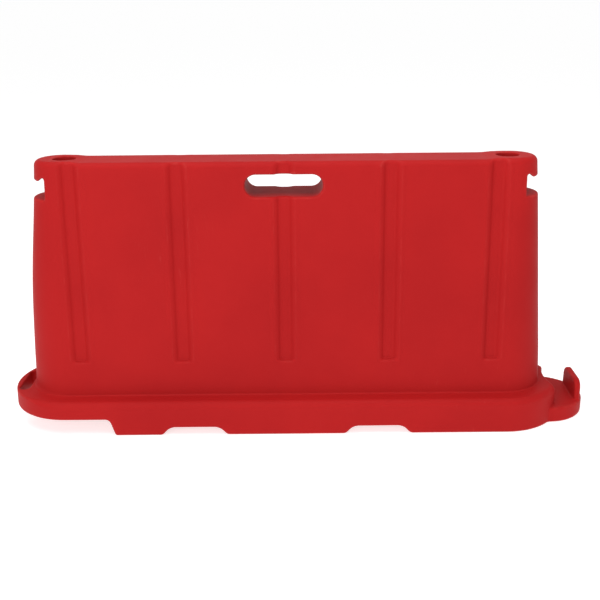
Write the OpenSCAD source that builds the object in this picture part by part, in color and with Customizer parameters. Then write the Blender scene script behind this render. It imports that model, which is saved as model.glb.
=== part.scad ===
// Water filled traffic barrier: one hollow tapered moulding on a wide foot, with a screw cap in
// each of its two top wells and a drain plug low in its back.
// Millimetres. +Z is up, the front faces -Y. The origin is on the ground, under the middle groove.

/* [Overall] */
// Distance between the two upright axes that the round ends are turned about
axis_span = 1490; // [1400:10:1600]
// Height of the whole barrier
total_h = 905; // [860:5:960]
// Wall thickness of the moulding
wall = 5; // [4:0.5:6]

/* [Foot] */
// Half width of the foot, and the radius of its round ends
foot_r = 209; // [198:1:220]
// Height of the foot, up to the ledge
foot_h = 118; // [112:1:126]
// Radius of the ledge's outer edge
ledge_round = 22; // [14:1:26]
// Radius of the foot's bottom edge
sole_round = 8; // [4:1:10]
// Sideways lean of the foot's wall
foot_draft = 3; // [1:1:5]
// Distance from the right end axis outwards to the deepest point of the foot's hollowed end
hollow_out = 166; // [162:1:180]
// Radius that the right end of the foot is hollowed to
hollow_r = 215; // [200:5:260]

/* [Body] */
// Half depth of the body where it meets the ledge
body_r = 144; // [138:1:150]
// Half depth of the body at its top
top_r = 84; // [78:1:90]
// Radius of the top edge
top_round = 18; // [10:1:22]
// Radius of the hollow corner between body and ledge
root_round = 9; // [5:1:12]

/* [Grooves] */
// Grooves on each long side
groove_count = 5; // [3:2:5]
// Distance from each end axis inwards to the middle of the nearest groove
groove_in = 55; // [48:1:70]
// Width of a groove
groove_w = 43; // [30:1:50]
// Depth of a groove
groove_d = 10; // [6:1:12]
// Height at which the grooves end
groove_z = 238; // [200:1:280]

/* [Hand slot] */
// Length of the hand slot
slot_w = 257; // [220:1:270]
// Height of the hand slot
slot_h = 76; // [60:1:80]
// Distance from the top of the barrier to the middle of the slot
slot_drop = 78; // [74:1:90]

/* [End notches] */
// Distance from each end axis outwards to the inner face of a notch
notch_out = 37; // [35:1:55]
// Height of a notch at its inner face
notch_h = 67; // [50:1:70]
// Distance from the top of the barrier to the roof of a notch
notch_drop = 55; // [50:1:70]
// How far the lip hangs from the roof at the outer edge
lip_drop = 8; // [4:1:12]
// Distance from the inner face of a notch to the lip
lip_x = 22; // [22:1:28]
// Sideways lean of the lip's inner side
lip_lean = 3; // [1:1:3]
// Radius of the notch's corners
notch_round = 12; // [6:1:12]

/* [Underside] */
// Distance from the middle of the barrier to the middle of a channel
channel_x = 309; // [290:1:320]
// Width of a channel on the ground
channel_w = 219; // [190:1:230]
// Width of a channel at its roof
channel_top_w = 167; // [150:1:180]
// Height of a channel
channel_h = 28; // [20:1:32]
// Height of the undercut that rides over the next barrier's tongue
undercut_h = 58; // [57:1:62]
// Distance from the left end axis inwards to the undercut's end on the ground
undercut_in = 168; // [145:1:185]
// Sideways lean of the undercut's end
undercut_lean = 19; // [10:1:30]

/* [Link] */
// Distance from the right end axis outwards to the middle of the tongue's disc
tongue_out = 162; // [155:1:165]
// Radius of the tongue's disc
tongue_r = 138; // [130:1:142]
// Height of the tongue
tongue_h = 54; // [50:1:56]
// Radius of the tongue's upper edge
tongue_round = 7; // [4:1:10]
// Width of the hook across the barrier
hook_w = 146; // [130:1:148]
// Thickness of the hook
hook_t = 21; // [16:1:23]
// Height of the hook above the ground
hook_z = 126; // [120:1:140]
// Radius of the hook's upper corners
hook_round = 35; // [20:1:40]
// Distance from the tongue's tip to the hook's outer face
hook_inset = 21; // [20:1:26]
// Gap between the round outlines of two linked barriers' feet, at their nearest
link_gap = 17; // [16:0.5:20]
// Room left all round the next barrier's hook
hook_clearance = 6.5; // [5.5:0.5:7]

/* [Filler] */
// Distance from the left end axis inwards to the middle of the left top well
left_well_in = 29; // [27:1:36]
// Distance from the right end axis inwards to the middle of the right top well
right_well_in = 15; // [13:1:23]
// Depth of the wide part of a well
well_d = 45; // [40:1:50]
// Width of the shoulder between the wide and the narrow part
shoulder = 4; // [3:1:6]
// Gap between the neck and the side of the narrow part, where the cap sits
seat_room = 5; // [4.5:0.5:6]
// Depth of the narrow part of a well
seat_d = 30; // [28:1:34]
// Radius of the filler neck's bore
neck_r = 24; // [22:0.5:25]
// Height of the filler cap's head
cap_h = 10; // [8:1:11]
// Depth of the filler cap's spigot
cap_spigot = 14; // [10:1:16]

/* [Drain] */
// Height of the flat wall under the drain's recess, above the bottom edge's round
drain_sill = 1; // [0.5:0.5:4]
// Gap between the neck and the side of the drain's recess
recess_room = 12; // [10:1:14]
// Depth of the drain's recess
recess_d = 24; // [24:1:28]
// Radius of the drain's bore
drain_r = 17; // [14:0.5:18]
// Thickness of the drain plug's head
plug_h = 8; // [6:1:9]
// Depth of the drain plug's spigot
plug_spigot = 15; // [12:1:16]

/* [Fittings] */
// Wall of a moulded-in neck
neck_wall = 5; // [4:0.5:6]
// How far a neck stands above its floor
neck_proud = 3; // [2:0.5:4]
// How deep a neck reaches below its floor
neck_depth = 18; // [16:1:20]
// Extra radius of the neck's buried flange
flange_r = 3.5; // [3:0.5:5]
// Thickness of the neck's buried flange
flange_t = 5; // [4:0.5:6]
// Thickness of a sealing ring
ring_t = 2.4; // [2:0.1:3]
// Gap between parts that only rest on each other
rest_gap = 0.3; // [0.2:0.05:0.4]
// Running gap between a spigot and its bore
run_gap = 0.06; // [0.02:0.01:0.1]
// Thickness of the grip bar on a cap or plug
grip_t = 8; // [6:1:10]
// Radius of the mouth's chamfer on a well
mouth_chamfer = 2; // [1:0.5:3]
// Room for fingers round a cap in its well
cap_room = 3; // [2.5:0.5:4]
// Room for fingers round the plug in its recess
plug_room = 8; // [6:1:10]
// Notches round the rim of a cap or plug
grip_notches = 12; // [8:1:16]

/* [Hidden] */
$fn = 96;
arc_steps = 6;
half_span = axis_span / 2;
reach = 400;
// height range over which the body's wall is straight, and its half depth at any height
wall_z0 = foot_h + root_round;
wall_z1 = total_h - top_round;
function wall_at(z) = body_r + (top_r - body_r) * (z - wall_z0) / (wall_z1 - wall_z0);
function arc(x, z, r, from, to) =
    [for (i = [0:arc_steps]) let (a = from + (to - from) * i / arc_steps) [x + r * cos(a), z + r * sin(a)]];
function both_sides(half) =
    concat(half, [for (i = [len(half) - 1:-1:0]) [-half[i][0], half[i][1]]]);
// half of the cross section, from the middle of the sole round to the middle of the top
function half_section(inset) = concat(
    arc(foot_r - sole_round, sole_round, max(sole_round - inset, 1), -90, 0),
    arc(foot_r - foot_draft - ledge_round, foot_h - ledge_round, ledge_round - inset, 0, 90),
    arc(body_r + root_round, foot_h + root_round, root_round + inset, 270, 180),
    arc(top_r - top_round, total_h - top_round, top_round - inset, 0, 90));
function filleted(x, z, r, turn) = arc(x, z, r, turn, turn + 90);

groove_pitch = (axis_span - 2 * groove_in) / (groove_count - 1);
slot_z = total_h - slot_drop;
slot_end = (slot_w - slot_h) / 2;
notch_x = half_span + notch_out;
notch_roof = total_h - notch_drop;
notch_sill = notch_roof - notch_h;
undercut_x = half_span - undercut_in;
function well_x(side) = side * (half_span - (side < 0 ? left_well_in : right_well_in));
seat_r = neck_r + neck_wall + seat_room;
well_r = seat_r + shoulder;
seat_top = total_h - well_d;
seat_floor = seat_top - seat_d;
tongue_x = half_span + tongue_out;
tongue_tip = tongue_x + tongue_r;
hook_mid_x = tongue_tip - hook_inset - hook_t / 2;
link_pitch = 2 * (half_span + foot_r) + link_gap;
link_slot_x = hook_mid_x - link_pitch;
link_slot_w = hook_t + 2 * hook_clearance;
link_slot_end = hook_w / 2 + hook_clearance - link_slot_w / 2;
recess_y = foot_r - recess_d;
recess_r = drain_r + neck_wall + recess_room;
drain_z = sole_round + drain_sill + recess_r;

// the section swept along the barrier, with its round ends
module long_form(inset) {
    half = half_section(inset);
    closed = concat([[0, min(sole_round - max(sole_round - inset, 1), inset)]], half, [[0, total_h - inset]]);
    rotate([90, 0, 90])
        linear_extrude(height = axis_span, center = true)
            polygon(both_sides(half));
    for (side = [-1, 1])
        translate([side * half_span, 0, 0])
            rotate([0, 0, -side * 90])
                rotate_extrude(angle = 180)
                    polygon(closed);
}

// that form with the right end of its foot hollowed, so that the next barrier can turn on its tongue
module hollowed_form(inset) {
    difference() {
        long_form(inset);
        translate([half_span + hollow_out + hollow_r, 0, -1])
            cylinder(h = foot_h + root_round + 1, r = hollow_r + inset);
    }
}

// the disc at the right foot that the next barrier stands on
module tongue(inset) {
    edge = tongue_round - inset;
    rim = max(edge, 1);
    top = tongue_h - inset;
    translate([tongue_x, 0, 0])
        rotate_extrude()
            polygon(concat(
                [[0, inset], [tongue_r - inset, inset]],
                arc(tongue_r - inset - rim, top - rim, rim, 0, 90),
                [[0, top]]));
}

// the upright lug on the tongue
module hook(inset) {
    foot_z = tongue_h - 2 * wall;
    half_w = hook_w / 2 - inset;
    corner = hook_round - inset;
    translate([hook_mid_x, 0, 0])
        rotate([90, 0, 90])
            linear_extrude(height = hook_t - 2 * inset, center = true)
                polygon(both_sides(concat(
                    [[half_w, foot_z]],
                    arc(half_w - corner, hook_z - inset - corner, corner, 0, 90))));
}

// one groove on the front, cut parallel to the leaning wall
module groove(grow) {
    low = groove_z - grow;
    high = total_h + 10;
    depth = groove_d + grow;
    rotate([90, 0, 90])
        linear_extrude(height = groove_w + 2 * grow, center = true)
            polygon([
                [-wall_at(low) + depth, low],
                [-wall_at(high) + depth, high],
                [-reach, high],
                [-reach, low]]);
}

module grooves(grow) {
    for (i = [0:groove_count - 1], turn = [0, 180])
        translate([(i - (groove_count - 1) / 2) * groove_pitch, 0, 0])
            rotate([0, 0, turn])
                groove(grow);
}

// a stadium-shaped bar, along X or Y, standing along Z
module stadium_bar(length, width, height) {
    cube([length - width, width, height], center = true);
    for (side = [-1, 1])
        translate([side * (length - width) / 2, 0, 0])
            cylinder(h = height, d = width, center = true);
}

module hand_slot(grow) {
    translate([0, 0, slot_z])
        rotate([90, 0, 0])
            stadium_bar(slot_w + 2 * grow, slot_h + 2 * grow, reach);
}

// a sideways cut right through the barrier, from its outline in X and Z
module cut_through(outline) {
    rotate([90, 0, 0])
        linear_extrude(height = 2 * reach, center = true)
            polygon(outline);
}

module end_notch(grow) {
    x = notch_x - grow;
    low = notch_sill - grow;
    high = notch_roof + grow;
    r = notch_round + grow;
    lip = notch_x + lip_x - grow;
    cut_through(concat(
        filleted(x + r, low + r, r, 180),
        [[notch_x + reach, low], [notch_x + reach, high - lip_drop]],
        [[lip, high - lip_drop], [lip - lip_lean, high]],
        filleted(x + r, high - r, r, 90)));
}

module channel(grow) {
    cut_through([
        [-channel_w / 2 - grow, -1],
        [channel_w / 2 + grow, -1],
        [channel_w / 2 + grow, 0],
        [channel_top_w / 2 + grow, channel_h + grow],
        [-channel_top_w / 2 - grow, channel_h + grow],
        [-channel_w / 2 - grow, 0]]);
}

module undercut(grow) {
    cut_through([
        [-undercut_x + grow, -1],
        [-undercut_x + grow, 0],
        [-undercut_x - undercut_lean + grow, undercut_h + grow],
        [-undercut_x - reach, undercut_h + grow],
        [-undercut_x - reach, -1]]);
}

// the upright slot in the left ledge that takes the next barrier's hook
module link_slot(grow) {
    low = undercut_h - 1;
    high = foot_h + root_round + 1;
    translate([link_slot_x, 0, (low + high) / 2])
        rotate([0, 0, 90])
            stadium_bar(
                2 * link_slot_end + link_slot_w + 2 * grow,
                link_slot_w + 2 * grow,
                high - low);
}

module well(grow) {
    translate([0, 0, seat_top - grow])
        cylinder(h = reach, r = well_r + grow);
    translate([0, 0, seat_floor - grow])
        cylinder(h = reach, r = seat_r + grow);
}

module wells(grow) {
    for (side = [-1, 1])
        translate([well_x(side), 0, 0])
            well(grow);
}

module drain_recess(grow) {
    translate([0, recess_y - grow, drain_z])
        rotate([-90, 0, 0])
            cylinder(h = reach, r = recess_r + grow);
}

// everything that reaches into the moulding, at its own size or grown by the wall
module features(grow) {
    grooves(grow);
    hand_slot(grow);
    for (side = [0, 1])
        mirror([side, 0, 0]) end_notch(grow);
    for (side = [-1, 1])
        translate([side * channel_x, 0, 0]) channel(grow);
    undercut(grow);
    link_slot(grow);
    wells(grow);
    drain_recess(grow);
}

// mouth chamfers of the wells, and the holes that the necks are moulded into
module openings() {
    neck_hole = neck_r + neck_wall;
    for (side = [-1, 1])
        translate([well_x(side), 0, 0]) {
            translate([0, 0, total_h - mouth_chamfer])
                cylinder(h = 2 * mouth_chamfer, r1 = well_r, r2 = well_r + 2 * mouth_chamfer);
            translate([0, 0, seat_floor - 2 * wall])
                cylinder(h = 3 * wall, r = neck_hole);
        }
    translate([0, recess_y - 2 * wall, drain_z])
        rotate([-90, 0, 0])
            cylinder(h = 3 * wall, r = drain_r + neck_wall);
}

module tank_shell() {
    color("firebrick")
        difference() {
            union() {
                hollowed_form(0);
                tongue(0);
                hook(0);
            }
            features(0);
            openings();
            difference() {
                union() {
                    hollowed_form(wall);
                    tongue(wall);
                    hook(wall);
                }
                features(wall);
            }
        }
}

// a neck, its floor's upper face at height 0
module neck(bore_r) {
    outer_r = bore_r + neck_wall;
    color("dimgray")
        difference() {
            union() {
                translate([0, 0, -neck_depth])
                    cylinder(h = neck_depth + neck_proud, r = outer_r);
                translate([0, 0, -wall - flange_t])
                    cylinder(h = flange_t, r = outer_r + flange_r);
            }
            translate([0, 0, -neck_depth - 1])
                cylinder(h = neck_depth + neck_proud + 2, r = bore_r);
        }
}

// a flat sealing ring on that neck
module sealing_ring(bore_r) {
    color("black")
        translate([0, 0, neck_proud + rest_gap])
            difference() {
                cylinder(h = ring_t, r = bore_r + neck_wall);
                translate([0, 0, -1])
                    cylinder(h = ring_t + 2, r = bore_r + rest_gap);
            }
}

// a cap or plug on that ring: notched head, hollow spigot and a bar to turn it by
module screw_cap(bore_r, head_r, head_h, spigot, bar_h) {
    head_z = neck_proud + ring_t + 2 * rest_gap;
    spigot_r = bore_r - run_gap;
    skin = 4;
    edge = 2;
    notch_r = 2.5;
    color("dimgray")
        translate([0, 0, head_z]) {
            difference() {
                union() {
                    rotate_extrude()
                        polygon([
                            [0, 0],
                            [head_r, 0],
                            [head_r, head_h - edge],
                            [head_r - edge, head_h],
                            [0, head_h]]);
                    translate([0, 0, -spigot])
                        cylinder(h = spigot + 1, r = spigot_r);
                }
                translate([0, 0, -spigot - 1])
                    cylinder(h = spigot + 1 + head_h - skin, r = spigot_r - skin);
                for (i = [0:grip_notches - 1])
                    rotate([0, 0, 360 * i / grip_notches])
                        translate([head_r + notch_r / 2, 0, -1])
                            cylinder(h = head_h + 2, r = notch_r, $fn = 32);
            }
            translate([0, 0, head_h - 1 + (bar_h + 1) / 2])
                stadium_bar(2 * (head_r - notch_r - edge), grip_t, bar_h + 1);
        }
}

module at_filler(side) {
    translate([well_x(side), 0, seat_floor]) children();
}

module at_drain() {
    translate([0, recess_y, drain_z])
        rotate([-90, 0, 0]) children();
}

module filler_cap() {
    screw_cap(neck_r, seat_r - cap_room, cap_h, cap_spigot, cap_bar_h);
}

module drain_plug() {
    at_drain() screw_cap(drain_r, recess_r - plug_room, plug_h, plug_spigot, plug_bar_h);
}

// each bar fills what its well or recess leaves above the head, less a margin
bar_margin = 3;
cap_stack = neck_proud + ring_t + 2 * rest_gap;
cap_bar_h = seat_d - cap_stack - cap_h - bar_margin;
plug_bar_h = recess_d - cap_stack - plug_h - bar_margin;

tank_shell();
at_filler(-1) neck(neck_r);  // filler_neck_left
at_filler(-1) sealing_ring(neck_r);  // filler_ring_left
at_filler(-1) filler_cap();  // filler_cap_left
at_filler(1) neck(neck_r);  // filler_neck_right
at_filler(1) sealing_ring(neck_r);  // filler_ring_right
at_filler(1) filler_cap();  // filler_cap_right
at_drain() neck(drain_r);  // drain_neck
at_drain() sealing_ring(drain_r);  // drain_ring
drain_plug();
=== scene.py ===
import math

import bpy
import numpy as np
from mathutils import Matrix, Vector


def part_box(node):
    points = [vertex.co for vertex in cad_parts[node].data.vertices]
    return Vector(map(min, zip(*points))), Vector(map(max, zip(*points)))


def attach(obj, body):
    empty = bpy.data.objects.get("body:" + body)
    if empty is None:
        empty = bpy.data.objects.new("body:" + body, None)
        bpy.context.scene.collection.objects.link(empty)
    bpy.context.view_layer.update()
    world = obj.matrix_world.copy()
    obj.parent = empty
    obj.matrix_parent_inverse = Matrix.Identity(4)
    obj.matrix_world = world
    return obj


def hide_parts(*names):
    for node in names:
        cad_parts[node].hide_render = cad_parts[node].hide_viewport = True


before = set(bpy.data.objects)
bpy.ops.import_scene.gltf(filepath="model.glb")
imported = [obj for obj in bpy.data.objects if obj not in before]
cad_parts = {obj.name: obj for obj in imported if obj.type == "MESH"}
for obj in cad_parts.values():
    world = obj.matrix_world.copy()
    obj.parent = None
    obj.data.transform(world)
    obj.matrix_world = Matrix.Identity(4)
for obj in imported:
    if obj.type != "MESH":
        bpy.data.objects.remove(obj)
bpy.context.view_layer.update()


# --- Tank shell -------------------------------------------------------------------------------
# The barrier itself: one hollow moulding of red polyethylene powder, melted on to the inside of a
# turning mould. It has soft edges all over, panels that bow a little between the grooves, and a
# faintly pebbled, lightly scuffed skin. Nothing is fixed to it except the three moulded-in necks.
shell_lo, shell_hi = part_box("tank_shell")
filler_lo, filler_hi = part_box("filler_neck_right")
left_lo, left_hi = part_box("filler_neck_left")
drain_lo, drain_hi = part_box("drain_neck")
neck_proud = 0.003                      # how far each neck stands above its floor

top_z, foot_r = shell_hi.z, shell_hi.y
well_x = (filler_lo.x + filler_hi.x) / 2
left_well_x = (left_lo.x + left_hi.x) / 2
end_x = well_x + 0.015                  # axis that a round end is turned about

# foot, body and tongue: radii of their round ends, their heights and how soft their edges are
foot_z, foot_lean, ledge_soft, sole_soft = 0.118, 0.003, 0.022, 0.008
sharper_ledge, sharper_part = 0.015, (0.80, 0.89)       # the ledge's edge is crisper at the left
body_r, top_r, top_soft, root_soft = 0.144, 0.084, 0.018, 0.009
wall_lo, wall_hi = foot_z + root_soft, top_z - top_soft
wall_lean = (top_r - body_r) / (wall_hi - wall_lo)
wall_cos = math.cos(math.atan(wall_lean))
lobe_rise, lobe_part = 0.004, (0.650, 0.694)            # the top stands higher round each well
tongue_r, tongue_z, tongue_soft = 0.138, 0.054, 0.009
tongue_x = shell_hi.x - tongue_r
hook_x, hook_half_t, hook_half_w, hook_z = shell_hi.x - 0.0315, 0.0105, 0.073, 0.126
hook_corner, hook_soft, hook_root = 0.031, 0.007, 0.030
fillet, hook_fillet = 0.005, 0.006

# the left end leans in towards its top, and is tucked in a little just above its foot
top_tuck, top_tuck_part = 0.013, (0.46, 0.86)
root_tuck, root_tuck_from, root_tuck_to = 0.004, (0.12, 0.13), (0.14, 0.44)
tuck_part = (0.70, 0.74)

# relief of the long sides: panels bow, a bead runs beside each groove, and the mould is uneven
panel_bow, bow_from, bow_reach = 0.0013, 0.03, 0.06
bow_foot, bow_head = (0.15, 0.26), (0.80, 0.89)
bead_rise, bead_at, bead_half, bead_foot = 0.0009, 0.0385, 0.007, (0.22, 0.25)
wave_rise, wave_along, wave_up = 0.0004, (9.1, 1.3), (11.7, 0.4)

# what is sunk into it or cut through it, and how soft its edges are
groove_pitch = (end_x - 0.055) / 2
groove_half, groove_deep, groove_z = 0.0175, 0.012, 0.238
groove_flare = 0.75                                     # how fast its side walls spread outwards
groove_root, groove_soft = 0.005, 0.008
slot_half, slot_r, slot_z, slot_soft = 0.0905, 0.0355, top_z - 0.0805, 0.008
notch_x, notch_roof, notch_sill = end_x + 0.037, top_z - 0.052, top_z - 0.122
notch_roof_soft, notch_sill_soft = 0.008, 0.004
lip_x, lip_z, lip_up = notch_x + 0.0145, notch_roof - 0.013, notch_roof - 0.004
lip_out_slope, lip_up_slope = 0.8, 0.6
channel_x, channel_half, channel_top_half, channel_z = 0.309, 0.1095, 0.0835, 0.028
channel_cos = 0.73
undercut_x, undercut_lean, undercut_z, undercut_cos = 0.168 - end_x, 0.019, 0.058, 0.95
under_corner = 0.012                                    # roof corners of channels and undercut
hollow_r = 0.215                                        # hollows the right end of the foot
hollow_x = end_x + 0.166 + hollow_r
link_x, link_half, link_r = -0.9115, 0.0635, 0.017
opening_soft = 0.006

# the wells and the drain's recess, and behind them enough of the inside to look into
seat_z = filler_hi.z - neck_proud                       # floor that a filler neck stands in
well_r, seat_r, seat_top = 0.038, 0.034, top_z - 0.045
recess_y = drain_hi.y - neck_proud                      # floor that the drain neck stands in
drain_z, recess_r = (drain_lo.z + drain_hi.z) / 2, 0.034
seat_soft, rim_soft = 0.002, 0.004
filler_shaft_r, filler_shaft_low = 0.0285, 0.75
filler_pocket_r, filler_pocket_z, filler_pocket_half = 0.042, 0.722, 0.094
drain_shaft_r, drain_shaft_low = 0.0215, 0.10
drain_pocket_r, drain_pocket_y, drain_pocket_half = 0.030, 0.106, 0.065


def meet(a, b, soft):
    """What two forms share, its edge rounded to the radius soft."""
    outside = np.hypot(np.maximum(a + soft, 0), np.maximum(b + soft, 0))
    return np.minimum(np.maximum(a, b), -soft) + outside


def join(a, b, soft):
    """Two forms together, the corner between them filled to the radius soft."""
    inside = np.hypot(np.maximum(soft - a, 0), np.maximum(soft - b, 0))
    return np.maximum(np.minimum(a, b), soft) - inside


def carve(a, b, soft):
    """The first form less the second, its new edge rounded."""
    return meet(a, -b, soft)


def step(value, low, high):
    """0 below low, 1 above high, smooth between."""
    t = np.clip((value - low) / (high - low), 0, 1)
    return t * t * (3 - 2 * t)


def shell_form(x, y, z):
    """How far a point is outside the moulding's skin, below 0 inside it."""
    tuck = top_tuck * step(z, *top_tuck_part)
    tuck = tuck + root_tuck * (1 - step(z, *root_tuck_to)) * step(z, *root_tuck_from)
    side = np.abs(x) + tuck * step(-x, *tuck_part)
    round_r = np.hypot(np.maximum(side - end_x, 0), y)
    from_groove = np.abs(x - groove_pitch * np.clip(np.round(x / groove_pitch), -2, 2))

    height = step(z, *bow_foot) * (1 - step(z, *bow_head))
    bow = panel_bow * (1 - np.exp(-np.maximum(from_groove - bow_from, 0) / bow_reach)) * height
    bead = bead_rise * np.exp(-((from_groove - bead_at) / bead_half) ** 2) * step(z, *bead_foot)
    wave = np.sin(wave_along[0] * x + wave_along[1]) * np.sin(wave_up[0] * z + wave_up[1])
    wave = wave_rise * wave
    # nothing stands past the mould's own size
    relief = bow + bead + wave - (panel_bow + bead_rise + wave_rise)

    skin = (round_r - body_r - wall_lean * (z - wall_lo) - relief) * wall_cos
    roof = z - (top_z - lobe_rise * (1 - step(side, *lobe_part)))
    body = meet(skin, roof, top_soft)
    foot_skin = round_r - foot_r + wave_rise - wave
    foot_skin = foot_skin + foot_lean * (z - sole_soft) / (foot_z - ledge_soft - sole_soft)
    foot = meet(foot_skin, z - foot_z, ledge_soft - sharper_ledge * step(-x, *sharper_part))
    foot = meet(foot, hollow_r - np.hypot(x - hollow_x, y), opening_soft)
    tongue = meet(np.hypot(x - tongue_x, y) - tongue_r, z - tongue_z, tongue_soft)
    hook = meet(np.abs(y) - hook_half_w, z - hook_z, hook_corner)
    hook = meet(hook, np.abs(x - hook_x) - hook_half_t, hook_soft)
    hook = np.maximum(hook, hook_root - z)
    form = join(join(join(body, foot, fillet), tongue, fillet), hook, hook_fillet)
    form = meet(form, -z, sole_soft)

    above_floor = skin + groove_deep
    groove = from_groove - groove_half - groove_flare * above_floor
    groove = groove / math.hypot(1, groove_flare)
    groove = meet(meet(groove, -above_floor, groove_root), groove_z - z, groove_root)
    form = carve(form, groove, groove_soft)
    slot = np.hypot(np.maximum(side - slot_half, 0), z - slot_z) - slot_r
    form = carve(form, slot, slot_soft)
    notch = meet(notch_x - side, z - notch_roof, notch_roof_soft)
    notch = meet(notch, notch_sill - z, notch_sill_soft)
    lip = (lip_x - side) * lip_out_slope + (lip_up - z) * lip_up_slope
    notch = carve(notch, meet(lip, lip_z - z, opening_soft), opening_soft)
    form = carve(form, notch, opening_soft)
    channel = np.abs(side - channel_x) - channel_half
    channel = channel + (channel_half - channel_top_half) * z / channel_z
    form = carve(form, meet(channel * channel_cos, z - channel_z, under_corner), opening_soft)
    undercut = (x - undercut_x + undercut_lean * z / undercut_z) * undercut_cos
    form = carve(form, meet(undercut, z - undercut_z, under_corner), opening_soft)
    link = np.hypot(x - link_x, np.maximum(np.abs(y) - link_half, 0)) - link_r
    form = carve(form, link, opening_soft)

    from_well = np.hypot(x - np.where(x < 0, left_well_x, well_x), y)
    well = np.minimum(
        meet(from_well - well_r, seat_top - z, seat_soft),
        meet(from_well - seat_r, seat_z - z, seat_soft))
    hollow = np.minimum(
        np.maximum(from_well - filler_shaft_r, filler_shaft_low - z),
        np.maximum(from_well - filler_pocket_r, np.abs(z - filler_pocket_z) - filler_pocket_half))
    form = carve(form, np.minimum(well, hollow), rim_soft)
    from_drain = np.hypot(x, z - drain_z)
    recess = meet(from_drain - recess_r, recess_y - y, seat_soft)
    hollow = np.minimum(
        np.maximum(from_drain - drain_shaft_r, drain_shaft_low - y),
        np.maximum(from_drain - drain_pocket_r, np.abs(y - drain_pocket_y) - drain_pocket_half))
    return carve(form, np.minimum(recess, hollow), rim_soft)


def ruler(low, high, coarse, *fine):
    """Places along an axis from low to high, coarse apart, and closer in each (from, to, step)."""
    hair = 1e-6
    marks = [low]
    while marks[-1] < high:
        here = marks[-1]
        size = min([s for a, b, s in fine if a - hair <= here < b - hair], default=coarse)
        ahead = [a for a, b, s in fine if here + hair < a < here + size - hair]
        marks.append(min(ahead, default=here + size))
    return np.array(marks)


def near(place, reach, size):
    """A closer stretch for ruler, reach to each side of a place."""
    return place - reach, place + reach, size


def crossings(form, rulers):
    """Where the grid's edges cross the skin of form. For each axis: the edges that do, whether
    each one starts inside the form, and the places where they cross."""
    xs, ys, zs = rulers
    value = form(xs[:, None, None], ys[None, :, None], zs[None, None, :])
    inside = value < 0
    found = []
    for axis in range(3):
        low, high = [slice(None)] * 3, [slice(None)] * 3
        low[axis], high[axis] = slice(None, -1), slice(1, None)
        low, high = tuple(low), tuple(high)
        cut = np.argwhere(inside[low] != inside[high])
        edges = tuple(cut.T)
        a, b = value[low][edges], value[high][edges]
        along = rulers[axis]
        place = np.stack([rulers[k][cut[:, k]] for k in range(3)], 1)
        place[:, axis] += a / (a - b) * (along[cut[:, axis] + 1] - along[cut[:, axis]])
        found.append((cut, inside[low][edges], place))
    return found


def cells_round(cut, axis, i, j):
    """The grid cell next to each edge along axis, i and j cells back along the two other axes."""
    first, second = [k for k in range(3) if k != axis]
    cell = cut.copy()
    cell[:, first] -= i
    cell[:, second] -= j
    return tuple(cell.T)


def net(form, rulers):
    """A rough net over the skin of form: a point in each cell that it crosses, and the quads."""
    found = crossings(form, rulers)
    total = np.zeros([len(marks) - 1 for marks in rulers] + [3])
    hits = np.zeros(total.shape[:3])
    for axis, (cut, starts_inside, place) in enumerate(found):
        for i, j in ((0, 0), (0, 1), (1, 0), (1, 1)):
            cells = cells_round(cut, axis, i, j)
            np.add.at(total, cells, place)
            np.add.at(hits, cells, 1)
    used = hits > 0
    number = np.full(used.shape, -1)
    number[used] = np.arange(used.sum())
    quads = []
    for axis, (cut, starts_inside, place) in enumerate(found):
        ring = ((1, 1), (0, 1), (0, 0), (1, 0))
        faces = np.stack([number[cells_round(cut, axis, i, j)] for i, j in ring], 1)
        flip = starts_inside if axis == 1 else ~starts_inside
        faces[flip] = faces[flip][:, ::-1]
        quads.append(faces)
    return total[used] / hits[used][:, None], np.concatenate(quads)


def slope(form, points, gap):
    """Which way the form falls away fastest at each point, and how fast."""
    grad = np.empty_like(points)
    for axis, move in enumerate(np.eye(3) * gap):
        up, down = points + move, points - move
        grad[:, axis] = (form(*up.T) - form(*down.T)) / (2 * gap)
    return grad


def evened(points, quads):
    """The points, each moved halfway to the middle of its neighbours."""
    around, count = np.zeros_like(points), np.zeros(len(points))
    for i in range(4):
        for j in (1, 3):
            np.add.at(around, quads[:, i], points[quads[:, (i + j) % 4]])
            np.add.at(count, quads[:, i], 1)
    return points * 0.5 + around / count[:, None] * 0.5


def mould(name, form, xs, ys, zs, reach):
    """A mesh of the skin of form. Its attribute edge says how far a point sits on an outward edge:
    the skin falls away there on every side, which reach away shows."""
    points, quads = net(form, (xs, ys, zs))
    gap = 0.1 * np.diff(xs).min()
    least_slope = 0.2
    for turn in range(4):
        if turn in (1, 2):
            points = evened(points, quads)
        grad = slope(form, points, gap)
        size = (grad ** 2).sum(1)
        points = points - grad * (form(*points.T) / np.maximum(size, least_slope))[:, None]
    grad = slope(form, points, gap)
    normals = grad / np.maximum(np.linalg.norm(grad, axis=1), 1e-9)[:, None]
    mesh = bpy.data.meshes.new(name)
    mesh.vertices.add(len(points))
    mesh.vertices.foreach_set("co", points.ravel())
    mesh.loops.add(quads.size)
    mesh.loops.foreach_set("vertex_index", quads.ravel())
    mesh.polygons.add(len(quads))
    mesh.polygons.foreach_set("loop_start", np.arange(0, quads.size, 4))
    mesh.polygons.foreach_set("use_smooth", np.ones(len(quads), bool))
    mesh.update(calc_edges=True)
    mesh.validate()
    mesh.normals_split_custom_set_from_vertices(normals)
    moves = np.concatenate([np.eye(3), -np.eye(3)]) * reach
    around = sum(form(*(points + move).T) for move in moves) / reach
    edge = mesh.attributes.new("edge", "FLOAT", "POINT")
    edge.data.foreach_set("value", np.clip(around, -1, 1).astype(np.float32))
    return mesh


def cast(name, mesh, seat=Matrix()):
    """A piece with its own copy of that mesh, set in its seat."""
    own = mesh.copy()
    own.transform(seat)
    piece = bpy.data.objects.new(name, own)
    bpy.context.scene.collection.objects.link(piece)
    return piece


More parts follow.
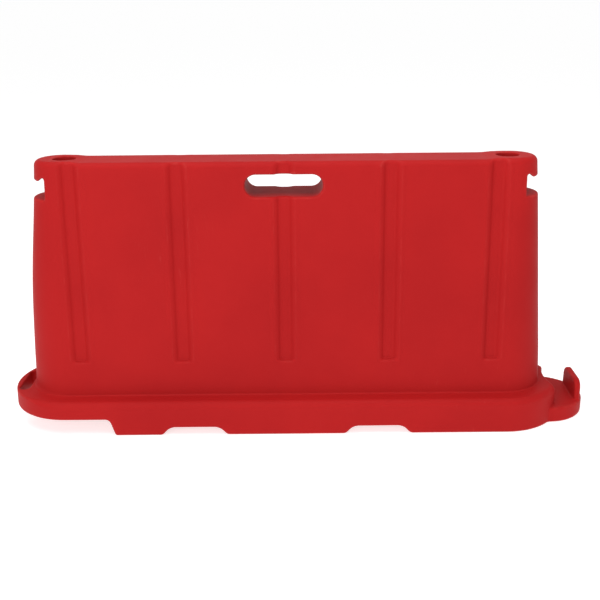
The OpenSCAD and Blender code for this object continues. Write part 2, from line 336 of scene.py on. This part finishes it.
# the grid is fine where the shell turns or is cut, and coarse along its plain panels
margin = 0.006
notch_reach, slot_reach = 0.054, 0.054
channel_mid = (channel_half + channel_top_half) / 2
shell_xs = ruler(
    shell_lo.x - margin, shell_hi.x + margin, 0.012,
    *[near(groove_pitch * i, 0.039, 0.003) for i in range(-2, 3)],
    (-slot_half - slot_reach, -slot_half + 0.004, 0.004),
    (slot_half, slot_half + slot_reach + 0.004, 0.004),
    (-notch_x - notch_reach, -0.654, 0.0035), (0.654, notch_x + notch_reach, 0.0035),
    (-0.970, -0.870, 0.004), (0.894, shell_hi.x + margin, 0.004),
    *[near(s * channel_x + d * channel_mid, 0.022, 0.005) for s in (-1, 1) for d in (-1, 1)],
    (undercut_x - 0.034, undercut_x + 0.012, 0.005))
shell_ys = ruler(-foot_r - margin, foot_r + margin, 0.004)
shell_zs = ruler(
    -margin, top_z + margin, 0.014,
    (-margin, 0.142, 0.0035), (0.224, 0.254, 0.003), (0.772, top_z + margin, 0.0033))
shell_edge_reach = 0.004
tank_shell = cast(
    "tank_shell_moulding",
    mould("shell", shell_form, shell_xs, shell_ys, shell_zs, shell_edge_reach))


class Wire:
    """A socket of a material. The usual operators on it add Math nodes."""

    def __init__(self, tree, socket=None):
        self.tree, self.socket = tree, socket

    def add(self, kind, settings, sockets, out=0):
        """A new node of that kind: its settings first, then its sockets' values or links."""
        node = self.tree.nodes.new(kind)
        for key, value in settings.items():
            setattr(node, key, value)
        for key, value in sockets.items():
            if isinstance(value, Wire):
                self.tree.links.new(value.socket, node.inputs[key])
            else:
                node.inputs[key].default_value = value
        return Wire(self.tree, node.outputs[out])

    def __add__(self, other):
        return self.add("ShaderNodeMath", {"operation": "ADD"}, {0: self, 1: other})

    def __mul__(self, other):
        return self.add("ShaderNodeMath", {"operation": "MULTIPLY"}, {0: self, 1: other})

    __radd__ = __add__
    __rmul__ = __mul__

    def between(self, low, high):
        """0 below low, 1 above high, smooth between."""
        smooth = {"interpolation_type": "SMOOTHSTEP"}
        return self.add("ShaderNodeMapRange", smooth, {0: self, 1: low, 2: high})

    def blend(self, first, second):
        """From the first colour to the second as this goes from 0 to 1."""
        return self.add("ShaderNodeMix", {"data_type": "RGBA"}, {0: self, 6: first, 7: second}, 2)

    def stretch(self, x, y, z):
        """These coordinates, scaled."""
        times = {"operation": "MULTIPLY"}
        return self.add("ShaderNodeVectorMath", times, {0: self, 1: (x, y, z)})

    def noise(self, scale, detail=2.0, rough=0.5):
        """Soft noise at these coordinates, that many lumps to a metre."""
        sockets = {"Vector": self, "Scale": scale, "Detail": detail, "Roughness": rough}
        return self.add("ShaderNodeTexNoise", {}, sockets)

    def edge(self):
        """How far the surface turns over an outward edge, as mould left it on the mesh."""
        return self.add("ShaderNodeAttribute", {"attribute_name": "edge"}, {}, "Fac")

    def bump(self, strength, distance):
        """The surface's normal with this height on it."""
        sockets = {"Strength": strength, "Distance": distance, "Height": self}
        return self.add("ShaderNodeBump", {}, sockets)


def finish(pieces, name, **fixed):
    """A new material on the pieces, with its fixed values set.
    Gives its coordinates, and a function that feeds the rest of its sockets."""
    material = bpy.data.materials.new(name)
    material.use_nodes = True
    tree = material.node_tree
    shader = next(n for n in tree.nodes if n.type == "BSDF_PRINCIPLED")
    for key, value in fixed.items():
        shader.inputs[key.replace("_", " ")].default_value = value
    for piece in pieces:
        piece.data.materials.clear()
        piece.data.materials.append(material)

    def feed(**wires):
        for key, wire in wires.items():
            tree.links.new(wire.socket, shader.inputs[key.replace("_", " ")])

    return Wire(tree).add("ShaderNodeTexCoord", {}, {}, "Object"), feed


red_deep, red_plain = (0.365, 0.0100, 0.0108, 1), (0.398, 0.0114, 0.0118, 1)
red_pale = (0.56, 0.080, 0.070, 1)                      # where the skin is scuffed or rubbed, and a painted highlight along its rounded edges
skin_at, feed = finish(
    [tank_shell], "red_rotomoulded_polyethylene", IOR=1.5, Specular_IOR_Level=0.06)
# rounded edges lighten towards red_pale: partly rub wear, partly a painted highlight standing in
# for the light the rims catch
rubbed = skin_at.edge().between(0.15, 0.8) * skin_at.noise(30.0, 3.0).between(0.35, 0.75)
streaks = skin_at.stretch(150.0, 150.0, 16.0).noise(1.0, 3.0, 0.6).between(0.62, 0.74)
scuffs = streaks * skin_at.noise(2.3, 2.0).between(0.52, 0.68)
flecks = skin_at.noise(420.0, 1.0).between(0.62, 0.80)
colour = skin_at.noise(3.1, 3.0).between(0.30, 0.70).blend(red_deep, red_plain)
colour = (flecks * 0.08).blend(colour, red_pale)
colour = (scuffs * 0.14 + rubbed * 0.30).blend(colour, red_pale)
pebble, dimple = skin_at.noise(900.0, 2.0), skin_at.noise(170.0, 2.0)
feed(
    Base_Color=colour,
    Roughness=skin_at.noise(14.0, 3.0) * 0.14 + scuffs * 0.10 + 0.48,
    Normal=(pebble * 0.5 + dimple + scuffs * 0.3).bump(0.35, 0.0004))
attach(tank_shell, "tank")
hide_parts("tank_shell")


# --- Necks ------------------------------------------------------------------------------------
# Three short threaded necks of black polyethylene, one in the floor of each top well and one low in
# the back. Each is laid in the mould first, so that the skin grips its flange as it sets.
filler_bore, drain_bore, neck_wall = 0.024, 0.017, 0.005
neck_low, flange_out, flange_half = -0.018, 0.0035, 0.0025
neck_mid, neck_half = (neck_proud + neck_low) / 2, (neck_proud - neck_low) / 2
neck_soft, flange_soft, flange_fillet = 0.0008, 0.0006, 0.001
thread_pitch, thread_clear, thread_deep = 0.004, 0.0006, 0.0006
mouth_wide, mouth_soft = 0.0014, 0.0005                 # the bore's bevelled mouth
small_cell, small_edge_reach = 0.0008, 0.0012
left_seat = Matrix.Translation((left_well_x, 0, seat_z))
right_seat = Matrix.Translation((well_x, 0, seat_z))
facing_back = Matrix.Rotation(-math.pi / 2, 4, "X")
drain_seat = Matrix.Translation((0, recess_y, drain_z)) @ facing_back


def thread(x, y, z):
    """1 on a thread's crest, -1 at its root."""
    return np.cos(2 * math.pi * z / thread_pitch - np.arctan2(y, x))


def across(r):
    """Places along X or Y for a small round piece of that radius."""
    return ruler(-r - 0.002, r + 0.002, small_cell)


def neck_mesh(bore):
    """A neck that stands on the floor at height 0."""
    def form(x, y, z):
        r = np.hypot(x, y)
        tube = meet(r - bore - neck_wall, np.abs(z - neck_mid) - neck_half, neck_soft)
        flange = r - bore - neck_wall - flange_out
        flange = meet(flange, np.abs(z - neck_mid) - flange_half, flange_soft)
        inside = r - bore - thread_clear + thread_deep * thread(x, y, z)
        inside = np.minimum(inside, r - bore - mouth_wide - (z - neck_proud))
        return carve(join(tube, flange, flange_fillet), inside, mouth_soft)

    wide = across(bore + neck_wall + flange_out)
    tall = ruler(neck_low - 0.002, neck_proud + 0.002, small_cell)
    return mould("neck", form, wide, wide, tall, small_edge_reach)


filler_neck = neck_mesh(filler_bore)
necks = [
    cast("filler_neck_left_threaded", filler_neck, left_seat),
    cast("filler_neck_right_threaded", filler_neck, right_seat),
    cast("drain_neck_threaded", neck_mesh(drain_bore), drain_seat)]
coal, dusty = (0.022, 0.022, 0.024, 1), (0.12, 0.115, 0.11, 1)
neck_at, feed = finish(
    necks, "black_moulded_polyethylene", IOR=1.5, Specular_IOR_Level=0.35)
dust = neck_at.noise(160.0, 4.0, 0.6).between(0.50, 0.75)
rubbed = neck_at.edge().between(0.25, 0.9) * neck_at.noise(220.0, 2.0).between(0.35, 0.70)
grain = neck_at.noise(2600.0, 2.0)
feed(
    Base_Color=(dust * 0.30 + rubbed * 0.35).blend(coal, dusty),
    Roughness=neck_at.noise(90.0, 2.0) * 0.16 + dust * 0.12 + 0.34,
    Normal=(grain + dust * 0.5).bump(0.3, 0.0001))
for piece, node in zip(necks, ("filler_neck_left", "filler_neck_right", "drain_neck")):
    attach(piece, "tank")
    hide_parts(node)


# --- Sealing rings ----------------------------------------------------------------------------
# A flat ring of black rubber lies on each neck, stamped from sheet, so its edges are nearly sharp
# and its faces carry the sheet's fine grain. It comes away with the cap or plug that presses on it.
ring_low, ring_thick = neck_proud + 0.0003, 0.0024
ring_out, ring_half, ring_bulge, ring_soft = 0.00265, 0.00235, 0.0002, 0.0004
ring_cell, ring_edge_reach = 0.0004, 0.0006


def ring_mesh(bore):
    """A ring that lies on a neck, its middle ring_out outside the bore."""
    def form(x, y, z):
        rim = np.abs(np.hypot(x, y) - bore - ring_out) - ring_half
        bulge = ring_bulge * (1 - ((z - ring_low) / ring_thick * 2 - 1) ** 2)
        flat = np.abs(z - ring_low - ring_thick / 2) - ring_thick / 2
        return meet(rim + ring_bulge - bulge, flat, ring_soft)

    wide = across(bore + neck_wall)
    tall = ruler(ring_low - 0.001, ring_low + ring_thick + 0.001, ring_cell)
    return mould("ring", form, wide, wide, tall, ring_edge_reach)


filler_ring = ring_mesh(filler_bore)
rings = [
    cast("filler_ring_left_rubber", filler_ring, left_seat),
    cast("filler_ring_right_rubber", filler_ring, right_seat),
    cast("drain_ring_rubber", ring_mesh(drain_bore), drain_seat)]
rubber, bloomed = (0.012, 0.012, 0.012, 1), (0.055, 0.053, 0.050, 1)
ring_at, feed = finish(rings, "black_seal_rubber", IOR=1.5, Specular_IOR_Level=0.25)
bloom = ring_at.noise(240.0, 4.0, 0.6).between(0.45, 0.75)
cloth = ring_at.stretch(1.0, 1.0, 0.3).noise(3200.0, 2.0)
feed(
    Base_Color=(bloom * 0.5).blend(rubber, bloomed),
    Roughness=bloom * 0.15 + 0.68,
    Normal=cloth.bump(0.35, 0.0001))
ring_nodes = ("filler_ring_left", "filler_ring_right", "drain_ring")
for piece, node, body in zip(rings, ring_nodes, ("left_ring", "right_ring", "drain_seal")):
    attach(piece, body)
    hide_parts(node)


# --- Filler caps and drain plug ---------------------------------------------------------------
# Injection moulded screw caps of a harder black plastic with a fine textured face: a hollow
# threaded spigot, a dished head with twelve dents round its rim, and a bar across to turn it by.
cap_low = neck_proud + ring_thick + 0.0006              # underside of a cap's head
head_soft, head_under_soft = 0.0022, 0.0006
dents, dent_r, dent_out, dent_soft = 12, 0.0025, 0.00125, 0.0008
rim_wide, dish_deep, dish_corner, dish_soft = 0.0045, 0.0014, 0.0010, 0.0006
bar_half, bar_soft, bar_sunk, bar_fillet = 0.004, 0.0018, 0.004, 0.0012
spigot_clear, spigot_thread, spigot_soft, spigot_fillet = 0.00075, 0.00065, 0.0015, 0.0004
spigot_up, buried_soft = 0.001, 0.0003                  # ends hidden inside the head
core_in, core_roof, core_corner, core_soft = 0.00406, 0.004, 0.0012, 0.0006


def cap_mesh(bore, head, tall, deep, bar):
    """A cap of that head radius and height, spigot depth and bar height."""
    def form(x, y, z):
        z = z - cap_low
        r, turn = np.hypot(x, y), np.arctan2(y, x)
        half_turn = math.pi / dents
        turn = np.mod(turn + half_turn, 2 * half_turn) - half_turn
        dent = np.hypot(r * np.cos(turn) - head - dent_out, r * np.sin(turn)) - dent_r
        disc = meet(meet(r - head, z - tall, head_soft), -z, head_under_soft)
        disc = carve(disc, dent, dent_soft)
        dish = meet(r - head + rim_wide, tall - dish_deep - z, dish_corner)
        disc = carve(disc, dish, dish_soft)
        grip = np.hypot(np.maximum(np.abs(x) - head + rim_wide + bar_half, 0), y) - bar_half
        grip = meet(grip, z - tall - bar, bar_soft)
        grip = meet(grip, tall - bar_sunk - z, buried_soft)
        spigot = r - bore + spigot_clear - spigot_thread * thread(x, y, z)
        spigot = meet(meet(spigot, -z - deep, spigot_soft), z - spigot_up, buried_soft)
        solid = join(join(disc, grip, bar_fillet), spigot, spigot_fillet)
        return carve(solid, meet(r - bore + core_in, z - tall + core_roof, core_corner), core_soft)

    wide = across(head)
    upright = ruler(cap_low - deep - 0.002, cap_low + tall + bar + 0.002, small_cell)
    return mould("cap", form, wide, wide, upright, small_edge_reach)


filler_cap = cap_mesh(filler_bore, head=0.031, tall=0.010, deep=0.014, bar=0.011)
drain_cap = cap_mesh(drain_bore, head=0.026, tall=0.008, deep=0.015, bar=0.007)
caps = [
    cast("filler_cap_left_screw", filler_cap, left_seat),
    cast("filler_cap_right_screw", filler_cap, right_seat),
    cast("drain_plug_screw", drain_cap, drain_seat)]
soot, ash = (0.030, 0.030, 0.032, 1), (0.17, 0.165, 0.16, 1)
cap_at, feed = finish(caps, "black_textured_plastic", IOR=1.5, Specular_IOR_Level=0.4)
dust = cap_at.noise(110.0, 4.0, 0.6).between(0.48, 0.75)
rubbed = cap_at.edge().between(0.20, 0.85) * cap_at.noise(180.0, 2.0).between(0.35, 0.70)
spark = cap_at.noise(2100.0, 2.0)
feed(
    Base_Color=(dust * 0.28 + rubbed * 0.42).blend(soot, ash),
    Roughness=spark * 0.12 + dust * 0.12 + 0.38,
    Normal=(spark + dust * 0.4).bump(0.4, 0.00015))
cap_nodes = ("filler_cap_left", "filler_cap_right", "drain_plug")
for piece, node, body in zip(caps, cap_nodes, ("left_cap", "right_cap", "drain_plug")):
    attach(piece, body)
    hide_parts(node)


# --- Studio -----------------------------------------------------------------------------------
# A pale seamless floor under an even white room, one broad light overhead, a soft fill in front and
# a weaker one behind, and the camera.
bpy.ops.mesh.primitive_plane_add(size=400, location=(0, 0, 0))
floor = bpy.context.object
floor.name = "floor"
finish([floor], "pale_floor", Base_Color=(0.6, 0.6, 0.6, 1), Roughness=1.0, Specular_IOR_Level=0.0,
       Emission_Color=(1, 1, 1, 1), Emission_Strength=0.70)

room_white, room_grey = (1, 1, 1, 1), (0.45, 0.45, 0.45, 1)
world = bpy.data.worlds.new("soft_room")
world.use_nodes = True
background = world.node_tree.nodes["Background"]
outwards = Wire(world.node_tree).add("ShaderNodeTexCoord", {}, {}, "Generated")
upwards = outwards.add("ShaderNodeSeparateXYZ", {}, {0: outwards}, "Z")
shade = upwards.between(0.15, 0.33).blend(room_white, room_grey)
world.node_tree.links.new(shade.socket, background.inputs["Color"])
bpy.context.scene.world = world


def lamp(name, power, size, at, aim=(0, 0, 0.4)):
    """A broad rectangular light of that power in watts, aimed at the middle of the barrier."""
    light = bpy.data.lights.new(name, "AREA")
    light.shape = "RECTANGLE"
    light.size, light.size_y = size
    light.energy = power
    piece = bpy.data.objects.new(name, light)
    piece.location = at
    piece.rotation_euler = (Vector(aim) - Vector(at)).to_track_quat("-Z", "Y").to_euler()
    bpy.context.scene.collection.objects.link(piece)


lamp("overhead", 125, (5, 3), (-0.3, -0.9, 4.1))
lamp("front", 72, (4, 2.5), (-1.8, -4.7, 2.4))
lamp("rear", 22, (4, 2.5), (0.8, 3.6, 3.9))

camera_at, camera_down, camera_roll = (0.049, -2.911, 1.437), 0.34, -0.009
camera = bpy.data.objects.new("camera", bpy.data.cameras.new("camera"))
camera.data.lens, camera.data.sensor_width = 53.8, 36
camera.matrix_world = (
    Matrix.Translation(camera_at)
    @ Matrix.Rotation(math.pi / 2 - camera_down, 4, "X")
    @ Matrix.Rotation(camera_roll, 4, "Z"))
bpy.context.scene.collection.objects.link(camera)
bpy.context.scene.camera = camera
bpy.context.scene.view_settings.view_transform = "Standard"
